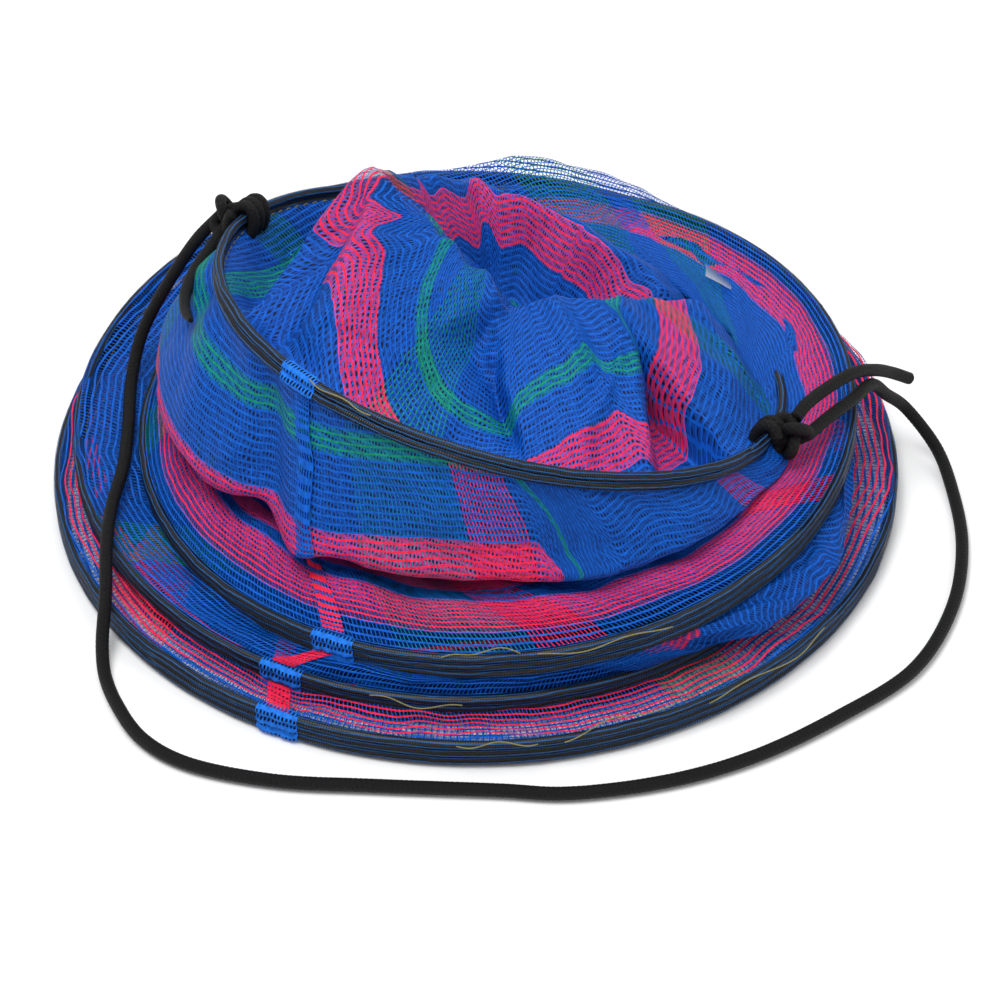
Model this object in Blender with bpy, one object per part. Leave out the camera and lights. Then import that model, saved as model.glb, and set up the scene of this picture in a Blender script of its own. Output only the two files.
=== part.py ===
"""A folding crab trap, folded flat: four wound hoops in sewn net hems, net walls and a rope handle.

Metres, +Z up. The origin is on the ground under the middle of the base hoop, and +Y is the back.
Each hoop carries its own parts, so the trap unfolds as three hoops sliding up in a chain.
"""

import math
from collections import namedtuple

import bmesh
import bpy
from mathutils import Euler, Matrix, Vector

MM = 0.001

# Hoops: wound rod in a net hem. Tilt is (about X, about Y) in degrees, angles run from +X to +Y.
Hoop = namedtuple("Hoop", "name centre radius tilt turns seam_angle")
BASE = Hoop("base", (0, 0, 0.0076), 0.200, (0, 0), 3, 245)
THIRD = Hoop("third", (-0.006, 0.0087, 0.0225), 0.1845, (3.8, 0.6), 3, 245)
SECOND = Hoop("second", (0.0098, -0.003, 0.0378), 0.168, (2.2, -3.6), 3, 245)
MOUTH = Hoop("mouth", (0.013, 0.0002, 0.085), 0.135, (-10.9, 15.1), 2, 225)
HOOPS = (BASE, THIRD, SECOND, MOUTH)
RING_STEPS = 36  # straight lengths in every ring, so that neighbours stay parallel
FLAT = 360 / RING_STEPS  # degrees of one straight length; seams sit in the middle of one
SHARP_EDGE = 40  # degrees between faces that still look like one curved surface
TINY = 1e-6

ROD_RADIUS = 2.1 * MM
TURN_PITCH = 4.4 * MM
CROSSOVER = 0.08  # share of a turn in which the rod climbs to the next level
COIL_END_GAP = 0.02  # share of a turn between a rod end and the crossover

HEM_CLEARANCE = 0.4 * MM
HEM_THICKNESS = 0.7 * MM
HEM_SLIT = (-3.0 * MM, -1.8 * MM)  # the seam opening on the inner face, as heights
STITCH_OFFSET = 0.9 * MM
STITCH_HALF = 0.45 * MM

PATCH_LENGTH = 19 * MM
PATCH_CLEARANCE = 0.3 * MM
PATCH_THICKNESS = 0.6 * MM

# Net walls between the hoops
NET_THICKNESS = 1.0 * MM
NET_GAP = 2.1 * MM
NET_STEPS = 4
WALL_BULGE = 3 * MM
BULGE_SHARE = 1 / 6  # the most a short wall bulges, as a share of its length
LONGEST_INSET = 1 / 3  # the most of a wall that is left off at each end
SEAM_STRIP = (14 * MM, 0.8 * MM, 0.4 * MM)  # width, thickness, gap over the wall
SEAM_INSET = 3.0 * MM  # how far the strip ends before the wall does
BASE_NET_THICKNESS = 1.6 * MM
BASE_NET_MARGIN = 6.5 * MM

# The net gathered in the mouth, in the mouth hoop's own plane: (x, y, height, spread)
THROAT_MARGIN = 6 * MM
THROAT_UNDERSIDE = -9 * MM
THROAT_TOP = -3 * MM
THROAT_RINGS = 6
THROAT_EDGE_POWER = 6  # how late the gathered net falls away towards the hoop
THROAT_FOLDS = (
    (-0.045, 0.045, 0.054, 0.026),
    (-0.040, 0.005, 0.016, 0.030),
    (0.000, 0.085, 0.026, 0.026),
    (0.052, 0.064, 0.020, 0.026),
    (0.062, -0.010, 0.024, 0.028),
    (0.096, 0.012, 0.018, 0.022),
)

# Rope handle
ROPE_RADIUS = 3.0 * MM
ROPE_STEP = 15 * MM
KNOT_RADIUS = 6.4 * MM
KNOT_GAP = 0.5 * MM
LEFT_KNOT_ANGLE = 155
RIGHT_KNOT_ANGLE = 335
LEFT_KNOT_HEIGHT = -1.0 * MM
RIGHT_KNOT_HEIGHT = 5.6 * MM
SADDLE_LEG = -0.5 * MM
HANDLE_ROUTE = (
    (-0.1235, 0.0600, 0.1043), (-0.1335, 0.0570, 0.0945), (-0.1500, 0.0520, 0.0700),
    (-0.1625, 0.0430, 0.0485), (-0.1668, 0.0240, 0.0355), (-0.1655, -0.0090, 0.0320),
    (-0.1650, -0.0380, 0.0315), (-0.1675, -0.0660, 0.0310), (-0.1675, -0.0900, 0.0295),
    (-0.1660, -0.1150, 0.0215), (-0.1665, -0.1350, 0.0090), (-0.1645, -0.1480, 0.0035),
    (-0.1567, -0.1680, 0.0035), (-0.1440, -0.1880, 0.0035), (-0.1250, -0.2020, 0.0035),
    (-0.0865, -0.2128, 0.0035), (-0.0420, -0.2160, 0.0035), (0.0115, -0.2187, 0.0035),
    (0.0400, -0.2205, 0.0035), (0.0851, -0.2128, 0.0035), (0.1216, -0.1986, 0.0035),
    (0.1600, -0.1745, 0.0035), (0.1960, -0.1450, 0.0035), (0.2180, -0.1050, 0.0035),
    (0.2279, -0.0632, 0.0035), (0.2285, -0.0250, 0.0034), (0.2230, 0.0030, 0.0090),
    (0.2080, 0.0120, 0.0260), (0.1960, 0.0030, 0.0420), (0.1860, -0.0090, 0.0575),
    (0.1745, -0.0270, 0.0625), (0.1630, -0.0410, 0.0640), (0.1515, -0.0550, 0.0645),
)
LEFT_TAIL_ROUTE = (
    (-0.1193, 0.0539, 0.1041), (-0.1245, 0.0440, 0.1005), (-0.1315, 0.0270, 0.0985),
    (-0.1345, 0.0080, 0.0995), (-0.1330, -0.0110, 0.1025), (-0.1290, -0.0250, 0.1075),
)
RIGHT_TAIL_ROUTE = (
    (0.1460, -0.0520, 0.0722), (0.1520, -0.0430, 0.0735), (0.1750, -0.0160, 0.0695),
    (0.1880, -0.0010, 0.0600), (0.1985, 0.0110, 0.0490), (0.2085, 0.0180, 0.0400),
)

# Blank sewn label on the mouth hoop
LABEL_SIZE = (18 * MM, 0.6 * MM, 11 * MM)
LABEL_ANGLE = 35
LABEL_GAP = 0.9 * MM


def clear_scene():
    for thing in list(bpy.data.objects):
        bpy.data.objects.remove(thing, do_unlink=True)


def material(name, colour, roughness):
    """A plain Principled material; colour is linear RGB."""
    made = bpy.data.materials.new(name)
    made.use_nodes = True
    shader = made.node_tree.nodes["Principled BSDF"]
    shader.inputs["Base Color"].default_value = (*colour, 1)
    shader.inputs["Roughness"].default_value = roughness
    shader.inputs["Metallic"].default_value = 0
    return made


def add(name, data, colour, parent=None):
    thing = bpy.data.objects.new(name, data)
    bpy.context.scene.collection.objects.link(thing)
    data.materials.append(colour)
    thing.parent = parent
    return thing


def mesh_from(name, bm):
    """Turns a finished bmesh into a mesh with outward faces, smooth except at real edges."""
    bm.normal_update()
    bmesh.ops.recalc_face_normals(bm, faces=bm.faces)
    mesh = bpy.data.meshes.new(name)
    bm.to_mesh(mesh)
    bm.free()
    mesh.shade_smooth()
    mesh.set_sharp_from_angle(angle=math.radians(SHARP_EDGE))
    return mesh


def hoop_matrix(hoop):
    tilt = Euler((math.radians(hoop.tilt[0]), math.radians(hoop.tilt[1]), 0)).to_matrix()
    return Matrix.Translation(hoop.centre) @ tilt.to_4x4()


def facet(angle):
    """How far out a ring's straight length lies at an angle, as a share of its corner's radius."""
    half = math.radians(FLAT / 2)
    return math.cos(half) / math.cos(math.radians(angle % FLAT) - half)


def on_hoop(hoop, angle, outward=0.0, height=0.0):
    """A world point beside the hoop's rod, angle in degrees."""
    turn = math.radians(angle)
    reach = (hoop.radius + outward) * facet(angle)
    return hoop_matrix(hoop) @ Vector((reach * math.cos(turn), reach * math.sin(turn), height))


def hem_half_size(hoop):
    """Half the width and half the height of a hoop's hem, outside."""
    lining = HEM_CLEARANCE + HEM_THICKNESS
    stack = (hoop.turns - 1) * TURN_PITCH / 2
    return ROD_RADIUS + lining, stack + ROD_RADIUS + lining


def swept(outline, start=0, sweep=360):
    """A closed outline of (radius, height) points turned about Z, as a ring or a capped arc.

    An arc either starts and ends at corners of the ring or stays within one straight length.
    """
    bm = bmesh.new()
    first = math.radians(start)
    across = facet(start) * math.cos(first)
    along = facet(start) * math.sin(first)
    corners = [bm.verts.new((radius * across, radius * along, height)) for radius, height in outline]
    face = bm.faces.new(corners)
    edges = list(face.edges)
    closed = sweep == 360
    geometry = corners + edges
    if closed:
        bm.faces.remove(face)
    else:
        geometry.append(face)
    steps = max(1, round(sweep / FLAT))
    bmesh.ops.spin(
        bm, geom=geometry, axis=(0, 0, 1), angle=math.radians(sweep), steps=steps, use_merge=closed
    )
    return bm


# --- hoops -------------------------------------------------------------------------------------


def coil_point(hoop, turned):
    """A point on the wound rod after a number of turns; it climbs one level per crossover."""
    level = math.floor(turned)
    late = max(0.0, (turned - level - 1 + CROSSOVER) / CROSSOVER)
    climb = late * late * (3 - 2 * late)
    height = (level + climb - (hoop.turns - 1) / 2) * TURN_PITCH
    around = 2 * math.pi * turned
    return hoop.radius * math.cos(around), hoop.radius * math.sin(around), height


def rod_coil(hoop, colour, parent):
    """The hoop's frame: one dark rod wound round several times, its turns stacked."""
    curve = bpy.data.curves.new(f"{hoop.name}_hoop_coil", "CURVE")
    curve.dimensions = "3D"
    curve.bevel_depth = ROD_RADIUS
    curve.bevel_resolution = 1
    curve.use_fill_caps = True
    last = hoop.turns - CROSSOVER - COIL_END_GAP
    spline = curve.splines.new("POLY")
    spline.points.add(math.floor(last * RING_STEPS))
    for number, point in enumerate(spline.points):
        point.co = (*coil_point(hoop, number / RING_STEPS), 1)
    add(curve.name, curve, colour, parent)


def hem_outline(hoop):
    """The C-shaped section of the net sleeve, open at the seam on its inner face."""
    wide, high = hem_half_size(hoop)
    low_lip, high_lip = HEM_SLIT
    inner_wide = wide - HEM_THICKNESS
    inner_high = high - HEM_THICKNESS
    outside = [
        (-wide, low_lip),
        (-wide, -high),
        (wide, -high),
        (wide, high),
        (-wide, high),
        (-wide, high_lip),
    ]
    inside = [
        (-inner_wide, high_lip),
        (-inner_wide, inner_high),
        (inner_wide, inner_high),
        (inner_wide, -inner_high),
        (-inner_wide, -inner_high),
        (-inner_wide, low_lip),
    ]
    return [(hoop.radius + across, height) for across, height in outside + inside]


def hem(hoop, colour, parent):
    add(f"{hoop.name}_hoop_hem", mesh_from("hem", swept(hem_outline(hoop))), colour, parent)


def hem_stitching(hoop, colour, parent):
    """The sewing thread that closes the hem, run along the seam and ended at the patch."""
    wide, _ = hem_half_size(hoop)
    middle = hoop.radius - wide - STITCH_OFFSET
    height = sum(HEM_SLIT) / 2
    outline = [
        (middle - STITCH_HALF, height),
        (middle, height - STITCH_HALF),
        (middle + STITCH_HALF, height),
        (middle, height + STITCH_HALF),
    ]
    bm = swept(outline, hoop.seam_angle + FLAT / 2, 360 - FLAT)
    add(f"{hoop.name}_hem_stitching", mesh_from("stitching", bm), colour, parent)


def seam_patch(hoop, colour, parent):
    """The doubled end of the side seam, folded over the hem as a saddle."""
    wide, high = hem_half_size(hoop)
    inner_wide = wide + PATCH_CLEARANCE
    outer_wide = inner_wide + PATCH_THICKNESS
    inner_top = high + PATCH_CLEARANCE
    outer_top = inner_top + PATCH_THICKNESS
    outline = [
        (-outer_wide, -high), (-inner_wide, -high), (-inner_wide, inner_top), (inner_wide, inner_top),
        (inner_wide, -high), (outer_wide, -high), (outer_wide, outer_top), (-outer_wide, outer_top),
    ]
    outline = [(hoop.radius + across, height) for across, height in outline]
    span = math.degrees(PATCH_LENGTH / hoop.radius)
    bm = swept(outline, hoop.seam_angle - span / 2, span)
    add(f"{hoop.name}_seam_patch", mesh_from("patch", bm), colour, parent)


# --- net ---------------------------------------------------------------------------------------


def leave_hem(hoop, point, direction, radial):
    """The point where a net wall leaves the hem on its way along direction."""
    wide, high = hem_half_size(hoop)
    across = max(abs(direction.dot(radial)), TINY)
    upward = max(abs(direction.z), TINY)
    return point + direction * min((wide + NET_GAP) / across, (high + NET_GAP) / upward)


def wall_point(lower, upper, angle, share, offset, inset):
    """A point of the net wall: share runs from the lower hoop to the upper one, less the inset."""
    start = on_hoop(lower, angle)
    end = on_hoop(upper, angle)
    radial = Vector((math.cos(math.radians(angle)), math.sin(math.radians(angle)), 0))
    direction = (end - start).normalized()
    start = leave_hem(lower, start, direction, radial)
    end = leave_hem(upper, end, -direction, radial)
    outward = (radial * direction.z - Vector((0, 0, direction.dot(radial)))).normalized()
    ends = min(LONGEST_INSET, inset / (end - start).length)
    share = ends + share * (1 - 2 * ends)
    slack = min(WALL_BULGE, (end - start).length * BULGE_SHARE) * math.sin(math.pi * share)
    return start.lerp(end, share) + outward * (slack + offset)


def net_wall(name, lower, upper, colour, span=None, layer=(0.0, NET_THICKNESS), inset=0.0):
    """A band of net between two hoops, or a strip of it over span degrees about the seam."""
    near, far = layer
    shares = [1 + step / NET_STEPS for step in range(NET_STEPS + 1)]
    outline = [(share, near) for share in shares] + [(share, far) for share in reversed(shares)]
    if span:
        middle = (lower.seam_angle + upper.seam_angle) / 2
        bm = swept(outline, middle - span / 2, span)
    else:
        bm = swept(outline)
    for vertex in bm.verts:
        angle = math.degrees(math.atan2(vertex.co.y, vertex.co.x))
        share = math.hypot(vertex.co.x, vertex.co.y) / facet(angle) - 1
        vertex.co = wall_point(lower, upper, angle, share, vertex.co.z, inset)
    add(name, mesh_from(name, bm), colour)


def side_seam(name, lower, upper, colour):
    """The doubled strip where the ends of a net wall are sewn together."""
    width, thickness, gap = SEAM_STRIP
    span = math.degrees(width / upper.radius)
    near = NET_THICKNESS + gap
    net_wall(name, lower, upper, colour, span, (near, near + thickness), SEAM_INSET)


def base_net(colour):
    """The flat net floor inside the base hoop."""
    bm = bmesh.new()
    bmesh.ops.create_cone(
        bm,
        cap_ends=True,
        segments=RING_STEPS,
        radius1=BASE.radius - BASE_NET_MARGIN,
        radius2=BASE.radius - BASE_NET_MARGIN,
        depth=BASE_NET_THICKNESS,
    )
    floor = add("base_net", mesh_from("base_net", bm), colour)
    floor.location.z = BASE_NET_THICKNESS / 2


def throat_height(x, y):
    """How far the gathered net stands above its rim at a point of the mouth's plane."""
    return sum(
        height * math.exp(-((x - fold_x) ** 2 + (y - fold_y) ** 2) / (2 * spread**2))
        for fold_x, fold_y, height, spread in THROAT_FOLDS
    )


def throat_net(colour, parent):
    """The net gathered inside the mouth hoop, as one soft mound with its main folds."""
    wide, _ = hem_half_size(MOUTH)
    rim = MOUTH.radius - wide - THROAT_MARGIN
    radii = [rim * (1 - step / THROAT_RINGS) for step in range(THROAT_RINGS + 1)]
    bm = bmesh.new()
    profile = [bm.verts.new((0, 0, THROAT_UNDERSIDE)), bm.verts.new((rim, 0, THROAT_UNDERSIDE))]
    profile += [bm.verts.new((radius, 0, THROAT_TOP)) for radius in radii]
    edges = [bm.edges.new(pair) for pair in zip(profile, profile[1:])]
    bmesh.ops.spin(
        bm, geom=profile + edges, axis=(0, 0, 1), angle=2 * math.pi, steps=RING_STEPS, use_merge=True
    )
    bmesh.ops.remove_doubles(bm, verts=bm.verts, dist=0.01 * MM)
    for vertex in bm.verts:
        share = math.hypot(vertex.co.x, vertex.co.y) / rim
        if vertex.co.z > (THROAT_UNDERSIDE + THROAT_TOP) / 2:
            edge = max(0.0, 1 - share**THROAT_EDGE_POWER)
            vertex.co.z += throat_height(vertex.co.x, vertex.co.y) * edge
    add("throat_net", mesh_from("throat_net", bm), colour, parent)


# --- rope --------------------------------------------------------------------------------------


def smooth_route(route, step):
    """Evenly spaced points on a centripetal Catmull-Rom curve through the route's points."""
    points = [Vector(point) for point in route]
    points = [2 * points[0] - points[1], *points, 2 * points[-1] - points[-2]]
    fine = []
    for before, start, end, after in zip(points, points[1:], points[2:], points[3:]):
        knots = [0.0]
        for left, right in ((before, start), (start, end), (end, after)):
            knots.append(knots[-1] + math.sqrt((right - left).length))
        pieces = max(2, round((end - start).length / MM))
        for number in range(pieces):
            at = knots[1] + (knots[2] - knots[1]) * number / pieces
            first = [
                left.lerp(right, (at - low) / (high - low))
                for left, right, low, high in zip(
                    (before, start, end), (start, end, after), knots, knots[1:]
                )
            ]
            second = [
                first[0].lerp(first[1], (at - knots[0]) / (knots[2] - knots[0])),
                first[1].lerp(first[2], (at - knots[1]) / (knots[3] - knots[1])),
            ]
            fine.append(second[0].lerp(second[1], (at - knots[1]) / (knots[2] - knots[1])))
    fine.append(points[-2])
    length = sum((right - left).length for left, right in zip(fine, fine[1:]))
    spacing = length / max(3, round(length / step))
    kept = [fine[0]]
    travelled = 0.0
    for left, right in zip(fine, fine[1:]):
        travelled += (right - left).length
        if travelled >= spacing * len(kept) - spacing * 0.01:
            kept.append(right)
    kept[-1] = fine[-1]
    return kept


def rope(name, route, colour):
    curve = bpy.data.curves.new(name, "CURVE")
    curve.dimensions = "3D"
    curve.bevel_depth = ROPE_RADIUS
    curve.bevel_resolution = 2
    curve.use_fill_caps = True
    points = smooth_route(route, ROPE_STEP)
    spline = curve.splines.new("POLY")
    spline.points.add(len(points) - 1)
    for target, point in zip(spline.points, points):
        target.co = (*point, 1)
    add(name, curve, colour)


def saddle(name, angle, colour):
    """The turn of rope over the mouth hoop's hem, a guide that is joined to its knot."""
    wide, high = hem_half_size(MOUTH)
    across = wide + ROPE_RADIUS + KNOT_GAP
    over = high + ROPE_RADIUS + KNOT_GAP
    curve = bpy.data.curves.new(name, "CURVE")
    curve.dimensions = "3D"
    curve.bevel_depth = ROPE_RADIUS
    curve.bevel_resolution = 1
    curve.use_fill_caps = True
    corner = ROPE_RADIUS
    path = [
        (across, SADDLE_LEG), (across, over - corner), (across - corner, over),
        (corner - across, over), (-across, over - corner), (-across, SADDLE_LEG),
    ]
    spline = curve.splines.new("POLY")
    spline.points.add(len(path) - 1)
    for target, (outward, height) in zip(spline.points, path):
        target.co = (*on_hoop(MOUTH, angle, outward, height), 1)
    guide = add(name, curve, colour)
    evaluated = guide.evaluated_get(bpy.context.evaluated_depsgraph_get())
    mesh = bpy.data.meshes.new_from_object(evaluated)
    bpy.data.objects.remove(guide)
    return mesh


def rope_knot(name, angle, height, colour):
    """A knot: a turn over the hoop joined to the ball of the hitch outside it."""
    wide, _ = hem_half_size(MOUTH)
    loop = add(f"{name}_turn", saddle(f"{name}_turn", angle, colour), colour)
    loop.hide_render = True
    loop.display_type = "WIRE"
    bm = bmesh.new()
    bmesh.ops.create_uvsphere(bm, u_segments=12, v_segments=7, radius=KNOT_RADIUS)
    ball = add(name, mesh_from(name, bm), colour)
    ball.location = on_hoop(MOUTH, angle, wide + KNOT_RADIUS + KNOT_GAP, height)
    join = ball.modifiers.new("join", "BOOLEAN")
    join.operation = "UNION"
    join.object = loop


# --- label -------------------------------------------------------------------------------------


def label(colour):
    """A blank cloth tag standing on the mouth hoop's hem."""
    _, high = hem_half_size(MOUTH)
    lift = high + LABEL_GAP + LABEL_SIZE[2] / 2
    bm = bmesh.new()
    bmesh.ops.create_cube(bm, size=1, matrix=Matrix.Diagonal((*LABEL_SIZE, 1)))
    tag = add("blank_label", mesh_from("blank_label", bm), colour)
    tag.location = on_hoop(MOUTH, LABEL_ANGLE, 0, lift)
    tag.rotation_euler = (0, 0, math.radians(LABEL_ANGLE + 90))


def build():
    clear_scene()
    rod = material("dark_rod", (0.035, 0.03, 0.027), 0.5)
    hem_net = material("hem_net", (0.01, 0.09, 0.3), 0.8)
    bright_net = material("doubled_net", (0.01, 0.13, 0.7), 0.8)
    thread = material("sewing_thread", (0.13, 0.12, 0.05), 0.7)
    wall = material("wall_net", (0.01, 0.12, 0.6), 0.8)
    red_net = material("striped_net", (0.6, 0.03, 0.08), 0.8)
    black_rope = material("braided_rope", (0.012, 0.01, 0.01), 0.85)
    cloth = material("label_cloth", (0.8, 0.8, 0.8), 0.7)

    carriers = {}
    for hoop in HOOPS:
        carrier = bpy.data.objects.new(f"{hoop.name}_carrier", None)
        bpy.context.scene.collection.objects.link(carrier)
        carrier.location = hoop.centre
        carrier.rotation_euler = (math.radians(hoop.tilt[0]), math.radians(hoop.tilt[1]), 0)
        carriers[hoop.name] = carrier
        rod_coil(hoop, rod, carrier)
        hem(hoop, hem_net, carrier)
        hem_stitching(hoop, thread, carrier)
        seam_patch(hoop, bright_net, carrier)

    base_net(wall)
    sections = (("lower", BASE, THIRD), ("middle", THIRD, SECOND), ("upper", SECOND, MOUTH))
    for name, lower, upper in sections:
        net_wall(f"{name}_section_net", lower, upper, wall)
        side_seam(f"{name}_side_seam", lower, upper, red_net)
    throat_net(wall, carriers["mouth"])

    rope("handle_rope", HANDLE_ROUTE, black_rope)
    rope("left_rope_tail", LEFT_TAIL_ROUTE, black_rope)
    rope("right_rope_tail", RIGHT_TAIL_ROUTE, black_rope)
    rope_knot("left_knot", LEFT_KNOT_ANGLE, LEFT_KNOT_HEIGHT, black_rope)
    rope_knot("right_knot", RIGHT_KNOT_ANGLE, RIGHT_KNOT_HEIGHT, black_rope)
    label(cloth)
    bpy.context.view_layer.update()


build()
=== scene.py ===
# %% [markdown]
# # A folding crab trap
# The trap is a stack of four wound hoops, each sewn into a net hem, with net walls between them.
# It lies folded flat, its net gathered in the mouth, with a rope handle thrown round the front.
# The hard frame is already modelled and packed, so this lesson adds what the eye meets first:
# real mesh, real folds, a braided rope and its knots.

# %% Load the frame
import math
import bmesh
import bpy
import numpy as np
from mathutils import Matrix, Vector, noise


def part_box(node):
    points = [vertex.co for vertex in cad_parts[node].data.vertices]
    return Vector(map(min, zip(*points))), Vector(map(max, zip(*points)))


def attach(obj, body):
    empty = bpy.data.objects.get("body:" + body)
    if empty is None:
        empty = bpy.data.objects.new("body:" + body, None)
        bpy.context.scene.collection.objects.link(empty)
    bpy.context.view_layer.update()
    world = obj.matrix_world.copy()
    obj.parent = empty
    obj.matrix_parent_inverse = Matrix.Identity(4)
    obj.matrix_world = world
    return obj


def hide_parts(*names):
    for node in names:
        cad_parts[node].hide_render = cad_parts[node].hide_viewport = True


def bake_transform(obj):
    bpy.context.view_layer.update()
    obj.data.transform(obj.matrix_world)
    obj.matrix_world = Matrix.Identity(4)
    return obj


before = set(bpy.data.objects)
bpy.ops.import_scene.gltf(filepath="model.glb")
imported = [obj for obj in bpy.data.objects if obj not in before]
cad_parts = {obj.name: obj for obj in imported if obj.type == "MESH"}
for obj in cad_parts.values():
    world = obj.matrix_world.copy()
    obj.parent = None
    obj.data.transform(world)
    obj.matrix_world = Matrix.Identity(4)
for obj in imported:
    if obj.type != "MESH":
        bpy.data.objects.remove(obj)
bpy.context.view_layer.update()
MM = 0.001

# %% [markdown]
# ## Looking at it
# A long lens a good metre away keeps the hoops' ellipses calm. It looks down at about forty
# degrees, as a person does who has just dropped the trap on a table.

# %% Camera
VIEW_ELEVATION = math.radians(40.8)
VIEW_DISTANCE = 1.296
VIEW_TARGET = Vector((0.0115, -0.0601, 0.030))
LENS_MM = 100.8
SENSOR_MM = 36


def make_camera():
    """A camera straight in front of the trap, looking down at it."""
    data = bpy.data.cameras.new("camera")
    data.lens = LENS_MM
    data.sensor_width = SENSOR_MM
    camera = bpy.data.objects.new("camera", data)
    bpy.context.scene.collection.objects.link(camera)
    back = Vector((0, -math.cos(VIEW_ELEVATION), math.sin(VIEW_ELEVATION)))
    camera.location = VIEW_TARGET + VIEW_DISTANCE * back
    camera.rotation_euler = back.to_track_quat("Z", "Y").to_euler()
    bpy.context.scene.camera = camera


make_camera()
print("camera", VIEW_DISTANCE, "m away")

# %% [markdown]
# ## Small helpers for materials
# Every colour is written as the sRGB hex a designer would pick, and one function turns it linear.
# One more function adds a node, sets it up and wires its inputs. Most plain surfaces here are two
# close colours mixed by some texture, so that mix has a helper too.

# %% Colour and node helpers
MIX_A, MIX_B, MIX_RESULT = 6, 7, 2  # the Mix node's colour sockets


def linear(hex_colour):
    """An sRGB hex colour as linear RGBA."""
    parts = [int(hex_colour[place : place + 2], 16) / 255 for place in (1, 3, 5)]
    return (*(p / 12.92 if p <= 0.04045 else ((p + 0.055) / 1.055) ** 2.4 for p in parts), 1)


def node(tree, kind, *feeds, **settings):
    """Adds a node; feeds go to its inputs in order, as links, values, or None to leave one alone."""
    made = tree.nodes.new(kind)
    for name, value in settings.items():
        setattr(made, name, value)
    for socket, feed in zip(made.inputs, feeds):
        if isinstance(feed, bpy.types.NodeSocket):
            tree.links.new(feed, socket)
        elif feed is not None:
            socket.default_value = feed
    return made


def new_material(name, roughness, metallic=0.0, ior=1.5):
    """A material with its Principled shader ready."""
    made = bpy.data.materials.new(name)
    made.use_nodes = True
    shader = made.node_tree.nodes["Principled BSDF"]
    shader.inputs["Roughness"].default_value = roughness
    shader.inputs["Metallic"].default_value = metallic
    shader.inputs["IOR"].default_value = ior
    return made, made.node_tree, shader


def two_tone(tree, share, dark, pale):
    """A mix of two hex colours, dark where share is 0 and pale where it is 1."""
    tone = node(tree, "ShaderNodeMix", share, data_type="RGBA")
    tone.inputs[MIX_A].default_value = linear(dark)
    tone.inputs[MIX_B].default_value = linear(pale)
    return tone.outputs[MIX_RESULT]


def banded(tree, position, bands, ground):
    """A ramp of flat colour bands: each band is (start, end, colour), as shares of the whole."""
    ramp = node(tree, "ShaderNodeValToRGB", position)
    elements = ramp.color_ramp.elements
    ramp.color_ramp.interpolation = "CONSTANT"
    elements[0].color = linear(ground)
    elements.remove(elements[1])
    for start, end, colour in bands:
        elements.new(start).color = linear(colour)
        elements.new(end).color = linear(ground)
    return ramp.outputs[0]


# %% [markdown]
# ## Floor and light
# A white sweep under a big soft light keeps the shadows short and pale, so that the see-through
# net shows white where the floor is behind it.

# %% Floor and lamps
FLOOR_REACH = 6
FLOOR_DROP = 0.3 * MM
WORLD_LIGHT = 0.5
LAMPS = (  # name, place in metres, size in metres, power in watts
    ("key", (-0.35, -0.35, 1.5), 0.8, 17),
    ("fill", (1.0, -0.5, 1.1), 1.2, 4),
    ("rim", (0.1, 1.1, 1.2), 1.0, 6),
)


def make_stage():
    """The white floor, an even white surrounding and three soft lamps."""
    bm = bmesh.new()
    bmesh.ops.create_grid(bm, x_segments=1, y_segments=1, size=FLOOR_REACH)
    mesh = bpy.data.meshes.new("floor")
    bm.to_mesh(mesh)
    bm.free()
    floor = bpy.data.objects.new("floor", mesh)
    floor.location.z = -FLOOR_DROP
    bpy.context.scene.collection.objects.link(floor)
    paper, _, shader = new_material("white_paper", 0.9)
    shader.inputs["Base Color"].default_value = linear("#fbfbfb")
    mesh.materials.append(paper)
    world = bpy.data.worlds.new("studio")
    world.use_nodes = True
    world.node_tree.nodes["Background"].inputs["Color"].default_value = (1, 1, 1, 1)
    world.node_tree.nodes["Background"].inputs["Strength"].default_value = WORLD_LIGHT
    bpy.context.scene.world = world
    for name, place, size, power in LAMPS:
        light = bpy.data.lights.new(name, "AREA")
        light.size = size
        light.energy = power
        lamp = bpy.data.objects.new(name, light)
        lamp.location = place
        lamp.rotation_euler = Vector(place).to_track_quat("Z", "Y").to_euler()
        bpy.context.scene.collection.objects.link(lamp)
    bpy.context.scene.view_settings.view_transform = "Standard"


make_stage()
print("floor and", len(LAMPS), "lamps")

# %% [markdown]
# ## Measuring the hoops
# Each hoop lies at its own tilt in the heap. Its hem's mesh in the frame tells where: the middle
# of its points is the centre, and the direction in which they spread least is the hoop's axis.

# %% Hoop frames
HOOP_NAMES = ("base", "third", "second", "mouth")
ROD_RADIUS = 2.1 * MM
TURN_PITCH = 4.4 * MM
END_TURN_HALF_HIGH = 3.2 * MM
HEM_FACETS = 36


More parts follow.
